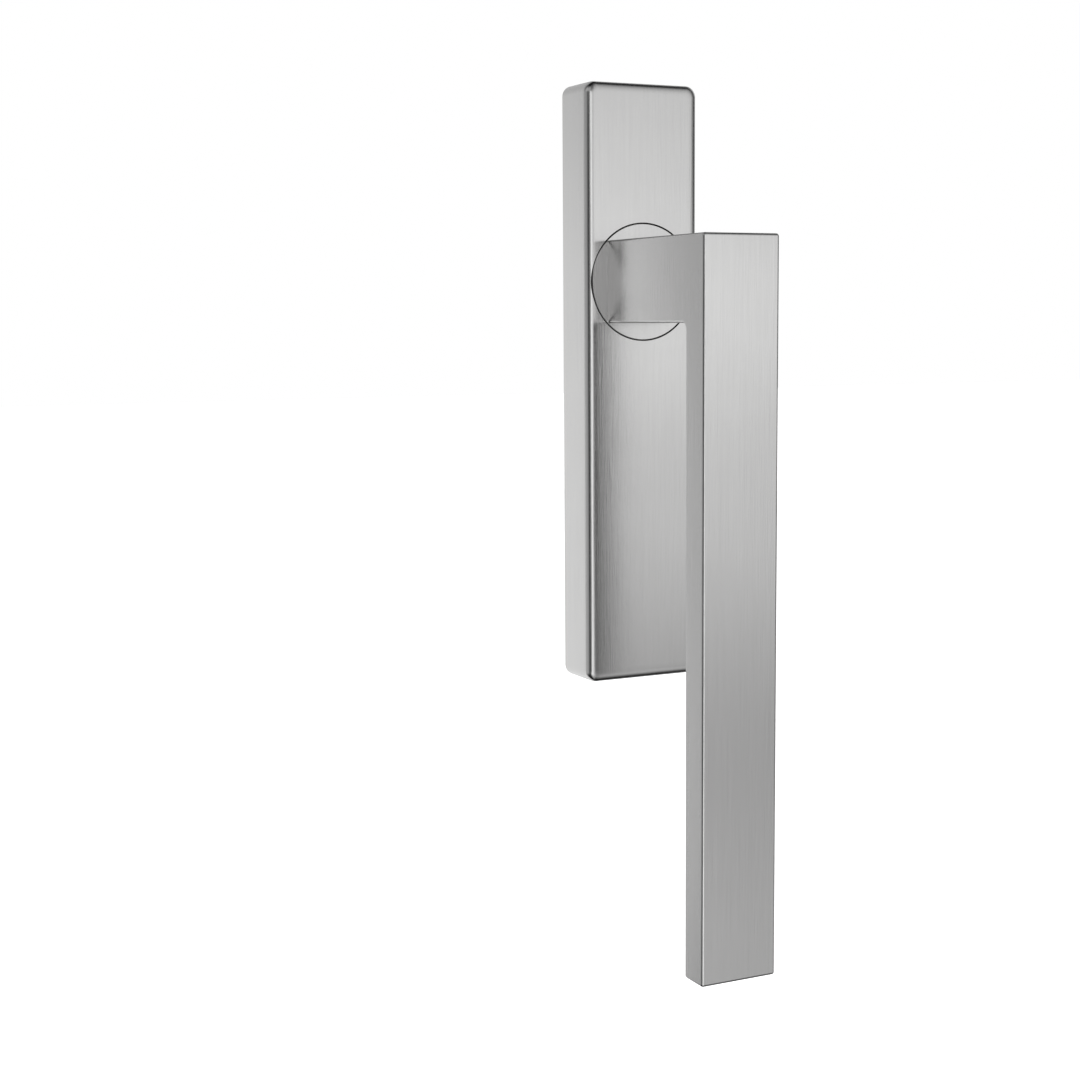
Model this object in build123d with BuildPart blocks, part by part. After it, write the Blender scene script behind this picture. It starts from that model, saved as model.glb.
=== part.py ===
"""Inside lever handle of a lift-and-slide door, on an oblong cover plate.

Frame: millimetres, +Z up, the door's face is the plane Y = 0 and the room is on the -Y side.
The origin is where the spindle axis meets the door's face. "Out" below is the distance from
the door's face towards the room, which is the local Z of Plane.XZ.
"""
import os
from math import hypot, radians, tan

from build123d import *

# Lever: a square neck and a flat bar grip in one piece
GRIP_WIDTH = 30.0
GRIP_THICKNESS = 12.0
GRIP_LENGTH = 259.0
NECK_HEIGHT = 30.0
LEVER_PROJECTION = 68.0
LEVER_EDGE_RADIUS = 1.0
LEVER_INNER_RADIUS = 2.8

# Cover plate, pressed from sheet
PLATE_HEIGHT = 220.0
PLATE_DEPTH = 20.0
AXIS_BELOW_TOP = 72.0
PLATE_CORNER_RADIUS = 4.0
PLATE_EDGE_RADIUS = 3.5
COVER_WALL = 1.4
ROTOR_CLEARANCE = 0.4
SEAM_GAP = 0.25
SEAM_EDGE = 0.2

# Base plate, die cast
BASE_CLEARANCE = 0.3
BASE_FLOOR = 4.0
RIM_WIDTH = 1.8
RIM_OUT = 8.0
HUB_CLEARANCE = 0.6
POCKET_DEPTH = 2.2
POCKET_RIB = 2.5
POCKET_MARGIN = 3.0
POCKET_CORNER = 2.0
POCKET_ROWS = 3
LUG_DIAMETER = 12.0
LUG_LENGTH = 8.0

# Screws that hold the base plate to the door
FIXING_SPACING = 80.0
FIXING_DIAMETER = 6.0
FIXING_SHANK_DIAMETER = 5.2
FIXING_LENGTH = 35.0
FIXING_HEAD_DIAMETER = 11.5
FIXING_SOCKET = 4.0
FIXING_BOSS_DIAMETER = 16.0
FIXING_BOSS_OUT = 5.5
FIXING_CLEARANCE = 0.25

# Rotor: the disc in the cover's opening and the shaft behind it
DISC_THICKNESS = 5.0
SHAFT_DIAMETER = 20.0
SHAFT_END_OUT = 0.4
SPINDLE_SIZE = 10.0
SPINDLE_LENGTH = 50.0
SPINDLE_CLEARANCE = 0.05
SPINDLE_CHAMFER = 1.0
PIN_DIAMETER = 3.0
PIN_INSET = 0.3
PIN_CLEARANCE = 0.02

# Screws that hold the neck to the disc
NECK_SCREW_DIAMETER = 4.0
NECK_SCREW_LENGTH = 12.0
NECK_SCREW_HEAD_DIAMETER = 7.5
NECK_SCREW_SOCKET = 2.5
NECK_SCREW_INSET = 4.8
THREAD_CLEARANCE = 0.05

# Bearing bush, shim and retaining ring
BUSH_WALL = 2.0
BUSH_FLANGE = 1.0
BUSH_FLANGE_WIDTH = 4.0
RUNNING_CLEARANCE = 0.05
END_PLAY = 0.1
SHIM_THICKNESS = 0.6
SHIM_WIDTH = 3.8
RING_THICKNESS = 1.2
RING_SHOULDER = 1.2
RING_GROOVE_DEPTH = 0.5
RING_WIDTH = 2.6
RING_SWELL = 0.5
RING_MOUTH = 5.0
RING_EYE_RADIUS = 2.0
RING_EYE_HOLE_DIAMETER = 1.8
RING_CLEARANCE = 0.05
RECESS_MARGIN = 1.2

# Stop pin and its half-circle groove
STOP_DIAMETER = 4.0
STOP_SEAT_DEPTH = 4.0
STOP_DEPTH = 4.5
STOP_CLEARANCE = 0.3

# Detents: wedge-nosed pins pressed towards the shaft by bowed leaf springs
DETENT_DIAMETER = 4.0
DETENT_GAP = 0.1
DETENT_BORE_CLEARANCE = 0.1
DETENT_STANDOFF = 1.2
DETENT_WALL = 0.8
NOSE_FLAT = 1.2
NOTCH_DEPTH = 0.7
NOTCH_CLEARANCE = 0.05
NOTCH_COUNT = 4
LEAF_THICKNESS = 0.5
LEAF_WIDTH = 4.0
LEAF_SPAN = 22.0
LEAF_RISE = 3.0
LEAF_GAP = 0.05
POST_THICKNESS = 2.0
POST_LENGTH = 5.0
POST_LIP = 2.5
POST_OUT = 9.0

# Cover clips, leaf springs pushed over the rim of the base plate
CLIP_THICKNESS = 0.6
CLIP_WIDTH = 14.0
CLIP_END_OUT = 2.5
CLIP_NOSE_OUT = 5.0
CLIP_NOSE_RISE = 0.5
CLIP_NOSE_RUN = 1.5
CLIP_GAP = 0.1
CLIP_SLOT_MARGIN = 1.0

# Screw details
SOCKET_DEPTH_SHARE = 0.6
HEAD_SINK = 0.2
HEAD_ANGLE = 90.0

# Outline of the disc, the cover and the base plate
disc_radius = hypot(GRIP_WIDTH, NECK_HEIGHT) / 2
cavity_width = 2 * (disc_radius + ROTOR_CLEARANCE)
plate_width = cavity_width + 2 * COVER_WALL
plate_middle = AXIS_BELOW_TOP - PLATE_HEIGHT / 2
cavity_height = PLATE_HEIGHT - 2 * COVER_WALL
base_width = cavity_width - 2 * BASE_CLEARANCE
base_height = cavity_height - 2 * BASE_CLEARANCE
base_corner = PLATE_CORNER_RADIUS - COVER_WALL - BASE_CLEARANCE
base_top = plate_middle + base_height / 2
base_bottom = plate_middle - base_height / 2

# Distances out from the door's face, along the spindle axis
disc_back = PLATE_DEPTH - DISC_THICKNESS
hub_front = disc_back - END_PLAY - BUSH_FLANGE
ring_back = SHAFT_END_OUT + RING_SHOULDER
ring_front = ring_back + RING_THICKNESS
recess_floor = ring_front + END_PLAY + SHIM_THICKNESS
detent_out = recess_floor + DETENT_WALL + DETENT_DIAMETER / 2
bush_back = detent_out + DETENT_DIAMETER / 2 + DETENT_WALL
pin_out = (bush_back + hub_front) / 2
grip_front = PLATE_DEPTH + LEVER_PROJECTION
grip_back = grip_front - GRIP_THICKNESS

# Radii about the spindle axis
shaft_radius = SHAFT_DIAMETER / 2
bush_radius = shaft_radius + RUNNING_CLEARANCE + BUSH_WALL
bush_flange_radius = shaft_radius + BUSH_FLANGE_WIDTH
hub_radius = disc_radius - HUB_CLEARANCE
groove_radius = shaft_radius - RING_GROOVE_DEPTH
ring_inner_radius = groove_radius + RING_CLEARANCE
ring_outer_radius = ring_inner_radius + RING_WIDTH
recess_radius = ring_outer_radius + RING_SWELL + RING_EYE_RADIUS + RECESS_MARGIN
stop_radius = (bush_flange_radius + hub_radius) / 2

# Distances from the spindle axis along the detent bores, with the pins drawn clear of the shaft
nose_rest = shaft_radius + DETENT_GAP
notch_floor = shaft_radius - NOTCH_DEPTH
detent_back = hub_radius + DETENT_STANDOFF
leaf_start = detent_back + LEAF_GAP
leaf_end = leaf_start + LEAF_RISE
post_face = leaf_end + LEAF_THICKNESS + LEAF_GAP

# Places of the screws, and of the cover clips at the top end of the base plate
fixing_places = [(0, FIXING_SPACING / 2), (0, -FIXING_SPACING / 2)]
neck_screw_x = GRIP_WIDTH / 2 - NECK_SCREW_INSET
neck_screw_z = NECK_HEIGHT / 2 - NECK_SCREW_INSET
neck_screw_places = [(neck_screw_x, neck_screw_z), (-neck_screw_x, -neck_screw_z)]
neck_hole_depth = NECK_SCREW_LENGTH - DISC_THICKNESS + NECK_SCREW_DIAMETER / 2
clip_inner = base_top - RIM_WIDTH
clip_outer = base_top + BASE_CLEARANCE - CLIP_GAP - CLIP_THICKNESS
clip_slot = CLIP_WIDTH + 2 * CLIP_SLOT_MARGIN
clip_slot_depth = base_top - clip_outer + CLIP_GAP
head_slope = tan(radians(HEAD_ANGLE / 2))

# Planes seen from the lever's side, and from behind the neck and the disc
side_view = Plane(origin=(0, 0, 0), x_dir=(0, -1, 0), z_dir=(-1, 0, 0))
neck_end_view = Plane(origin=(0, -PLATE_DEPTH, 0), x_dir=(1, 0, 0), z_dir=(0, 1, 0))
disc_back_view = Plane(origin=(0, -disc_back, 0), x_dir=(1, 0, 0), z_dir=(0, 1, 0))


def out(distance):
    """Plane parallel to the door's face, at a distance out from it."""
    return Plane.XZ.offset(distance)


def countersunk_screw(head_diameter, socket, stem):
    """Countersunk socket screw along Z, with the top of its head at the origin.

    The stem is a list of diameters, each with the depth below the head's top where it ends.
    """
    head_radius = head_diameter / 2
    profile = [(0, 0), (head_radius, 0)]
    start = (head_diameter - stem[0][0]) / 2 / head_slope
    for diameter, end in stem:
        profile.append((diameter / 2, -start))
        profile.append((diameter / 2, -end))
        start = end
    profile.append((0, -start))
    with BuildPart() as screw:
        with BuildSketch(Plane.XZ):
            with BuildLine():
                Polyline(*profile, close=True)
            make_face()
        revolve(axis=Axis.Z)
        with BuildSketch(Plane.XY):
            RegularPolygon(socket / 2, 6, major_radius=False)
        extrude(amount=-SOCKET_DEPTH_SHARE * socket, mode=Mode.SUBTRACT)
    return screw.part


def countersink_radius(head_diameter):
    """Mouth of the countersink that seats a head sunk below the face."""
    return head_diameter / 2 + HEAD_SINK * head_slope + THREAD_CLEARANCE


# Lever
with BuildPart() as lever:
    with BuildSketch(side_view) as lever_profile:
        with BuildLine():
            Polyline(
                (PLATE_DEPTH, NECK_HEIGHT / 2),
                (grip_front, NECK_HEIGHT / 2),
                (grip_front, NECK_HEIGHT / 2 - GRIP_LENGTH),
                (grip_back, NECK_HEIGHT / 2 - GRIP_LENGTH),
                (grip_back, -NECK_HEIGHT / 2),
                (PLATE_DEPTH, -NECK_HEIGHT / 2),
                close=True,
            )
        make_face()
        inner_corner = lever_profile.vertices().sort_by_distance((grip_back, -NECK_HEIGHT / 2))[0]
        fillet(inner_corner, LEVER_INNER_RADIUS)
    extrude(amount=GRIP_WIDTH / 2, both=True)
    seat_edges = lever.faces().sort_by(Axis.Y)[-1].edges()
    inner_edges = lever.faces().filter_by(GeomType.CYLINDER).edges()
    outline_edges = lever.faces().filter_by(Axis.X).edges() - seat_edges
    cross_edges = lever.edges().filter_by(Axis.X) - seat_edges - inner_edges
    fillet(outline_edges + cross_edges, LEVER_EDGE_RADIUS)
    with Locations(neck_end_view):
        with Locations(*neck_screw_places):
            Hole(NECK_SCREW_DIAMETER / 2, depth=neck_hole_depth)
lever.part.label = "lever"

# Rotor: disc and shaft in one piece
with BuildPart() as rotor_disc:
    with BuildSketch(out(disc_back)):
        Circle(disc_radius)
    extrude(amount=DISC_THICKNESS)
    disc_rim = rotor_disc.edges().filter_by(GeomType.CIRCLE).sort_by(Axis.Y)[0]
    chamfer(disc_rim, SEAM_EDGE)
    with BuildSketch(out(SHAFT_END_OUT)):
        Circle(shaft_radius)
    extrude(amount=disc_back - SHAFT_END_OUT)
    with BuildSketch(out(ring_back - RING_CLEARANCE)):
        Circle(shaft_radius + END_PLAY)
        Circle(groove_radius, mode=Mode.SUBTRACT)
    extrude(amount=RING_THICKNESS + 2 * RING_CLEARANCE, mode=Mode.SUBTRACT)
    with BuildSketch(out(SHAFT_END_OUT)):
        Rectangle(SPINDLE_SIZE + 2 * SPINDLE_CLEARANCE, SPINDLE_SIZE + 2 * SPINDLE_CLEARANCE)
    extrude(amount=PLATE_DEPTH - SHAFT_END_OUT, mode=Mode.SUBTRACT)
    with BuildSketch(Plane.YZ):
        with Locations((-pin_out, 0)):
            Circle(PIN_DIAMETER / 2 + PIN_CLEARANCE)
    extrude(amount=shaft_radius, both=True, mode=Mode.SUBTRACT)
    with Locations(disc_back_view):
        with Locations(*neck_screw_places):
            CounterSinkHole(
                NECK_SCREW_DIAMETER / 2 + THREAD_CLEARANCE,
                countersink_radius(NECK_SCREW_HEAD_DIAMETER),
                depth=DISC_THICKNESS,
                counter_sink_angle=HEAD_ANGLE,
            )
        with Locations((stop_radius, 0)):
            Hole(STOP_DIAMETER / 2 + PIN_CLEARANCE, depth=STOP_SEAT_DEPTH)
    # Notches of the detent pins, a quarter turn apart
    notch_length = DETENT_DIAMETER + 2 * DETENT_BORE_CLEARANCE
    notch_half = NOSE_FLAT / 2 + NOTCH_CLEARANCE
    with BuildSketch(out(detent_out - notch_length / 2)):
        with PolarLocations(notch_floor, NOTCH_COUNT):
            Trapezoid(
                2 * notch_half + 4 * NOTCH_DEPTH,
                2 * NOTCH_DEPTH,
                45,
                align=(Align.CENTER, Align.MAX),
                rotation=90,
            )
    extrude(amount=notch_length, mode=Mode.SUBTRACT)
rotor_disc.part.label = "rotor_disc"

# Cover plate: a pressed shell, open towards the door
with BuildPart() as cover_plate:
    with BuildSketch(out(0)):
        with Locations((0, plate_middle)):
            RectangleRounded(plate_width, PLATE_HEIGHT, PLATE_CORNER_RADIUS)
    extrude(amount=PLATE_DEPTH)
    fillet(cover_plate.faces().sort_by(Axis.Y)[0].edges(), PLATE_EDGE_RADIUS)
    offset(amount=-COVER_WALL, openings=cover_plate.faces().sort_by(Axis.Y)[-1])
    with BuildSketch(out(PLATE_DEPTH)):
        Circle(disc_radius + SEAM_GAP)
    extrude(amount=-PLATE_EDGE_RADIUS, mode=Mode.SUBTRACT)
    with BuildSketch(out(CLIP_NOSE_OUT - CLIP_NOSE_RUN - CLIP_GAP)):
        with Locations((0, plate_middle)):
            Rectangle(clip_slot, cavity_height + 2 * CLIP_NOSE_RISE)
    extrude(amount=2 * (CLIP_NOSE_RUN + CLIP_GAP), mode=Mode.SUBTRACT)
cover_plate.part.label = "cover_plate"

# Base plate
with BuildPart() as base_plate:
    with BuildSketch(out(0)) as base_outline:
        with Locations((0, plate_middle)):
            RectangleRounded(base_width, base_height, base_corner)
    extrude(amount=BASE_FLOOR)
    with BuildSketch(out(BASE_FLOOR)):
        add(base_outline.sketch_local)
        offset(amount=-RIM_WIDTH, mode=Mode.SUBTRACT)
    extrude(amount=RIM_OUT - BASE_FLOOR)
    # Seats of the cover clips, cut into the outside of the rim at both ends
    with BuildSketch(out(CLIP_END_OUT - CLIP_GAP)):
        with Locations((0, base_top), (0, base_bottom)):
            Rectangle(clip_slot, 2 * clip_slot_depth)
    extrude(amount=RIM_OUT - CLIP_END_OUT + CLIP_GAP, mode=Mode.SUBTRACT)
    # Hollowed back, in two columns below the lower lug and one row above the upper lug
    pocket_width = (base_width - 2 * POCKET_MARGIN - POCKET_RIB) / 2
    lug_edge = FIXING_SPACING / 2 + FIXING_BOSS_DIAMETER / 2
    lower_field = -lug_edge - (base_bottom + POCKET_MARGIN)
    upper_field = base_top - POCKET_MARGIN - lug_edge
    pocket_height = (lower_field - (POCKET_ROWS - 1) * POCKET_RIB) / POCKET_ROWS
    with BuildSketch(out(0)) as pockets:
        with Locations((0, -lug_edge - lower_field / 2)):
            with GridLocations(pocket_width + POCKET_RIB, pocket_height + POCKET_RIB, 2, POCKET_ROWS):
                Rectangle(pocket_width, pocket_height)
        with Locations((0, lug_edge + upper_field / 2)):
            with GridLocations(pocket_width + POCKET_RIB, upper_field, 2, 1):
                Rectangle(pocket_width, upper_field)
        chamfer(pockets.vertices(), POCKET_CORNER)
    extrude(amount=POCKET_DEPTH, mode=Mode.SUBTRACT)
    # Hub, posts that carry the ends of the detent springs, screw bosses and lugs
    with BuildSketch(out(0)):
        Circle(hub_radius)
    extrude(amount=hub_front)
    post_end = LEAF_SPAN / 2 + LEAF_GAP + POST_THICKNESS
    with BuildSketch(out(BASE_FLOOR)):
        with Locations((post_end, post_face)):
            Rectangle(POST_LENGTH, POST_THICKNESS, align=(Align.MAX, Align.MIN))
            Rectangle(POST_THICKNESS, POST_LIP, align=(Align.MAX, Align.MAX))
        mirror(about=Plane.YZ)
        mirror(about=Plane.XZ)
    extrude(amount=POST_OUT - BASE_FLOOR)
    with BuildSketch(out(0)):
        with Locations(*fixing_places):
            Circle(FIXING_BOSS_DIAMETER / 2)
    extrude(amount=FIXING_BOSS_OUT)
    with BuildSketch(out(0)):
        with Locations(*fixing_places):
            Circle(LUG_DIAMETER / 2)
    extrude(amount=-LUG_LENGTH)
    # Bores of the shaft, the bush and the retaining ring's recess
    with BuildSketch(out(0)):
        Circle(shaft_radius + BASE_CLEARANCE)
    extrude(amount=hub_front, mode=Mode.SUBTRACT)
    with BuildSketch(out(bush_back)):
        Circle(bush_radius)
    extrude(amount=hub_front - bush_back, mode=Mode.SUBTRACT)
    with BuildSketch(out(0)):
        Circle(recess_radius)
    extrude(amount=recess_floor, mode=Mode.SUBTRACT)
    # Half-circle groove of the stop pin, below the axis
    stop_reach = STOP_DIAMETER / 2 + STOP_CLEARANCE
    with BuildSketch(out(hub_front)):
        Circle(stop_radius + stop_reach)
        Circle(stop_radius - stop_reach, mode=Mode.SUBTRACT)
        Rectangle(
            2 * hub_radius,
            hub_radius,
            align=(Align.CENTER, Align.MIN),
            mode=Mode.SUBTRACT,
        )
        with Locations((stop_radius, 0), (-stop_radius, 0)):
            Circle(stop_reach)
    extrude(amount=-STOP_DEPTH, mode=Mode.SUBTRACT)
    # Bores of the detent pins, through both sides of the hub
    with BuildSketch(Plane.XY):
        with Locations((0, -detent_out)):
            Circle(DETENT_DIAMETER / 2 + DETENT_BORE_CLEARANCE)
    extrude(amount=hub_radius, both=True, mode=Mode.SUBTRACT)
    # Screw holes through the bosses and lugs
    with Locations(out(FIXING_BOSS_OUT)):
        with Locations(*fixing_places):
            CounterSinkHole(
                FIXING_DIAMETER / 2 + FIXING_CLEARANCE,
                countersink_radius(FIXING_HEAD_DIAMETER),
                depth=FIXING_BOSS_OUT + LUG_LENGTH,
                counter_sink_angle=HEAD_ANGLE,
            )
base_plate.part.label = "base_plate"

# Flanged bush, pressed into the hub
with BuildPart() as bearing_bush:
    with BuildSketch(out(bush_back)):
        Circle(bush_radius - PIN_CLEARANCE)
    extrude(amount=hub_front - bush_back)
    with BuildSketch(out(hub_front)):
        Circle(bush_flange_radius)
    extrude(amount=BUSH_FLANGE)
    with BuildSketch(out(bush_back)):
        Circle(shaft_radius + RUNNING_CLEARANCE)
    extrude(amount=hub_front + BUSH_FLANGE - bush_back, mode=Mode.SUBTRACT)
bearing_bush.part.label = "bearing_bush"

# Shim washer on the floor of the recess
with BuildPart() as shim_washer:
    with BuildSketch(out(recess_floor)):
        Circle(shaft_radius + SHIM_WIDTH)
        Circle(shaft_radius + END_PLAY, mode=Mode.SUBTRACT)
    extrude(amount=-SHIM_THICKNESS)
shim_washer.part.label = "shim_washer"

# Open retaining ring, wider opposite its mouth, with two eyes for the pliers
with BuildPart() as retaining_ring:
    eye_height = (ring_outer_radius**2 - (RING_MOUTH / 2 + RING_EYE_RADIUS) ** 2) ** 0.5
    with BuildSketch(out(ring_back)):
        with Locations((0, RING_SWELL)):
            Circle(ring_outer_radius)
        with Locations((0, -ring_outer_radius)):
            Rectangle(RING_MOUTH, 2 * RING_WIDTH + 2 * RING_EYE_RADIUS, mode=Mode.SUBTRACT)
        with Locations(
            (RING_MOUTH / 2 + RING_EYE_RADIUS, -eye_height),
            (-RING_MOUTH / 2 - RING_EYE_RADIUS, -eye_height),
        ):
            Circle(RING_EYE_RADIUS)
            Circle(RING_EYE_HOLE_DIAMETER / 2, mode=Mode.SUBTRACT)
        Circle(ring_inner_radius, mode=Mode.SUBTRACT)
    extrude(amount=RING_THICKNESS)
retaining_ring.part.label = "retaining_ring"

# Countersunk screws from behind the disc into the neck
neck_screw = countersunk_screw(
    NECK_SCREW_HEAD_DIAMETER,
    NECK_SCREW_SOCKET,
    [(NECK_SCREW_DIAMETER - 2 * THREAD_CLEARANCE, NECK_SCREW_LENGTH)],
)
with BuildPart() as neck_screws:
    with Locations(disc_back_view.offset(-HEAD_SINK)):
        with Locations(*neck_screw_places):
            add(neck_screw)
neck_screws.part.label = "neck_screws"

# Square spindle, cross-drilled for its pin
with BuildPart() as spindle:
    with BuildSketch(out(PLATE_DEPTH - END_PLAY)):
        Rectangle(SPINDLE_SIZE, SPINDLE_SIZE)
    extrude(amount=-SPINDLE_LENGTH)
    chamfer(spindle.faces().sort_by(Axis.Y)[-1].edges(), SPINDLE_CHAMFER)
    with BuildSketch(Plane.YZ):
        with Locations((-pin_out, 0)):
            Circle(PIN_DIAMETER / 2 + PIN_CLEARANCE)
    extrude(amount=SPINDLE_SIZE, both=True, mode=Mode.SUBTRACT)
spindle.part.label = "spindle"

with BuildPart() as spindle_pin:
    with BuildSketch(Plane.YZ):
        with Locations((-pin_out, 0)):
            Circle(PIN_DIAMETER / 2)
    extrude(amount=shaft_radius - PIN_INSET, both=True)
spindle_pin.part.label = "spindle_pin"

# Stop pin, pressed into the disc's back
with BuildPart() as stop_pin:
    with BuildSketch(out(hub_front - STOP_DEPTH + STOP_CLEARANCE)):
        with Locations((stop_radius, 0)):
            Circle(STOP_DIAMETER / 2)
    extrude(amount=disc_back + STOP_SEAT_DEPTH - hub_front + STOP_DEPTH - STOP_CLEARANCE)
stop_pin.part.label = "stop_pin"

# Detent pins, with a wedge nose that fits the shaft's notches
with BuildPart() as detent_pin_upper:
    with BuildSketch(Plane.XY.offset(nose_rest)):
        with Locations((0, -detent_out)):
            Circle(DETENT_DIAMETER / 2)
    extrude(amount=detent_back - nose_rest)
    nose_height = (DETENT_DIAMETER - NOSE_FLAT) / 2
    with BuildSketch(out(detent_out)):
        with Locations((0, nose_rest)):
            Rectangle(DETENT_DIAMETER, nose_height, align=(Align.CENTER, Align.MIN))
            Trapezoid(
                DETENT_DIAMETER,
                nose_height,
                45,
                align=(Align.CENTER, Align.MAX),
                rotation=180,
                mode=Mode.SUBTRACT,
            )
    extrude(amount=DETENT_DIAMETER, both=True, mode=Mode.SUBTRACT)
detent_pin_upper.part.label = "detent_pin_upper"

with BuildPart() as detent_pin_lower:
    add(detent_pin_upper.part.rotate(Axis.Y, 180))
detent_pin_lower.part.label = "detent_pin_lower"

# Bowed leaf springs behind the detent pins
with BuildPart() as detent_spring_upper:
    with BuildSketch(out(detent_out - LEAF_WIDTH / 2)):
        with BuildLine():
            ThreePointArc((-LEAF_SPAN / 2, leaf_end), (0, leaf_start), (LEAF_SPAN / 2, leaf_end))
            offset(amount=LEAF_THICKNESS, side=Side.LEFT)
        make_face()
    extrude(amount=LEAF_WIDTH)
detent_spring_upper.part.label = "detent_spring_upper"

with BuildPart() as detent_spring_lower:
    add(detent_spring_upper.part.rotate(Axis.Y, 180))
detent_spring_lower.part.label = "detent_spring_lower"

# Leaf springs over the rim, whose noses snap into the grooves of the cover's end walls
with BuildPart() as cover_clips:
    with BuildSketch(side_view):
        with BuildLine():
            Polyline(
                (BASE_FLOOR + CLIP_GAP, clip_inner),
                (RIM_OUT, clip_inner),
                (RIM_OUT, clip_outer),
                (CLIP_NOSE_OUT + CLIP_NOSE_RUN, clip_outer),
                (CLIP_NOSE_OUT, clip_outer + CLIP_NOSE_RISE),
                (CLIP_NOSE_OUT - CLIP_NOSE_RUN, clip_outer),
                (CLIP_END_OUT, clip_outer),
            )
            offset(amount=CLIP_THICKNESS, side=Side.LEFT)
        make_face()
    extrude(amount=CLIP_WIDTH / 2, both=True)
    mirror(about=Plane.XY.offset(plate_middle))
cover_clips.part.label = "cover_clips"

# Countersunk screws through the base plate into the door, threaded beyond the lugs
fixing_screw = countersunk_screw(
    FIXING_HEAD_DIAMETER,
    FIXING_SOCKET,
    [
        (FIXING_SHANK_DIAMETER, FIXING_BOSS_OUT - HEAD_SINK + LUG_LENGTH + FIXING_CLEARANCE),
        (FIXING_DIAMETER - 2 * THREAD_CLEARANCE, FIXING_LENGTH),
    ],
)
with BuildPart() as fixing_screws:
    with Locations(out(FIXING_BOSS_OUT - HEAD_SINK)):
        with Locations(*fixing_places):
            add(fixing_screw)
fixing_screws.part.label = "fixing_screws"

pieces = [
    lever,
    rotor_disc,
    cover_plate,
    base_plate,
    bearing_bush,
    shim_washer,
    retaining_ring,
    neck_screws,
    spindle,
    spindle_pin,
    stop_pin,
    detent_pin_upper,
    detent_pin_lower,
    detent_spring_upper,
    detent_spring_lower,
    cover_clips,
    fixing_screws,
]
os.makedirs("parts", exist_ok=True)
for piece in pieces:
    export_step(piece.part, f"parts/{piece.part.label}.step")
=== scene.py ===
"""Looks of the sliding door handle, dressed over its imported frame.

Metres, +Z up, the door's face is the plane Y = 0 and the room is on the -Y side.
"""
from math import cos, pi, radians, sin, tau

import bmesh
import bpy
from mathutils import Matrix, Vector


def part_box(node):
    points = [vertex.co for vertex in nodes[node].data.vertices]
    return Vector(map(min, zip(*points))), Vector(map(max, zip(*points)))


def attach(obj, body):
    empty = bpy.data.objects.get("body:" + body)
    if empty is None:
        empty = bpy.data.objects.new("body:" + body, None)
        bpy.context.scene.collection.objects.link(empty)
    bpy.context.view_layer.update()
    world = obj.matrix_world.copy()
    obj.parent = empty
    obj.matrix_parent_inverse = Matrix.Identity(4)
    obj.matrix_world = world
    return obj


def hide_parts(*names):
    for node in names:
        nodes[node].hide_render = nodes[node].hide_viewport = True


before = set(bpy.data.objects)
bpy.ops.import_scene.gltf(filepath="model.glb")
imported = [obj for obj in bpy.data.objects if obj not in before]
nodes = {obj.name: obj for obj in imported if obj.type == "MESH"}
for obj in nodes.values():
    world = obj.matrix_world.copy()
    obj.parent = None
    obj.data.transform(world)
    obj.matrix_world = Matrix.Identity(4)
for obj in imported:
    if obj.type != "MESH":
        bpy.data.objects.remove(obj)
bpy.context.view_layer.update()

MM = 0.001
SAME_PLACE = 1e-7

# Edges of a piece that are flatter than this many degrees are shaded smooth
SMOOTH_ANGLE = 35
THREAD_SMOOTH_ANGLE = 25

# Lever; edges that are flatter than the least angle, as inside the bend, aren't rounded
GRIP_WIDTH = 30 * MM
GRIP_FRONT = -88 * MM
GRIP_BACK = -76 * MM
GRIP_BOTTOM = -244 * MM
NECK_HALF = 15 * MM
LEVER_EDGE = 1.0 * MM
LEVER_EDGE_STEPS = 5
LEVER_EDGE_LEAST_ANGLE = 40
LEVER_INNER_RADIUS = 2.8 * MM
LEVER_INNER_STEPS = 10

# Cover plate; its front edge is fuller than a circle's arc, which has the power 2
PLATE_FRONT = -20 * MM
PLATE_TOP = 72 * MM
PLATE_BOTTOM = -148 * MM
PLATE_CORNER = 4 * MM
LEAST_CORNER = 0.4 * MM
CORNER_STEPS = 12
PLATE_EDGE = 5.0 * MM
PLATE_EDGE_POWER = 4
PLATE_EDGE_STEPS = 24
COVER_WALL = 1.4 * MM
INNER_EDGE = 2.1 * MM
INNER_EDGE_POWER = 2
INNER_EDGE_STEPS = 8
SEAM_GAP = 0.42 * MM
OPENING_STEPS = 192
CUT_MARGIN = 5 * MM

# Fixing screws, with a cut thread on the part beyond the lugs
FIXING_PLACES = (40 * MM, -40 * MM)
SCREW_HEAD_TOP = -5.3 * MM
SCREW_HEAD_RADIUS = 5.75 * MM
SCREW_HEAD_EDGE = 0.1 * MM
SCREW_SOCKET_RADIUS = 2.31 * MM
SCREW_SOCKET_DEPTH = 2.4 * MM
SCREW_SHANK_RADIUS = 2.6 * MM
SCREW_ROOT_RADIUS = 2.45 * MM
SCREW_CREST_RADIUS = 2.95 * MM
SCREW_TIP = 29.7 * MM
SCREW_TIP_CHAMFER = 0.6 * MM
SCREW_STEPS = 36
THREAD_START = 8.25 * MM
THREAD_RUN_IN = 0.3 * MM
THREAD_TIP_GAP = 0.2 * MM
THREAD_PITCH = 1.0 * MM
THREAD_SINK = 0.05 * MM
# Shares of the pitch at which the ridge starts, reaches its crest, leaves it and ends
THREAD_FLANKS = (0.08, 0.44, 0.56, 0.92)

# Brushed grain: its lines, and how far each is drawn out; faces this level have it front to back
GRAIN_LINES = 1600.0
GRAIN_DRAWN_OUT = 0.03
LEVEL_FACE = 0.7
STREAK_SCALE = 0.5
GRAIN_DEPTH = 0.04 * MM
GRAIN_WARMTH = 0.004
GRAIN_ANISOTROPY = 0.6
# Gives level faces a direction of their grain too
GRAIN_LEAN = (0.05, 0, 0)
GRAIN_ROUGHNESS_SPREAD = 0.08

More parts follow.
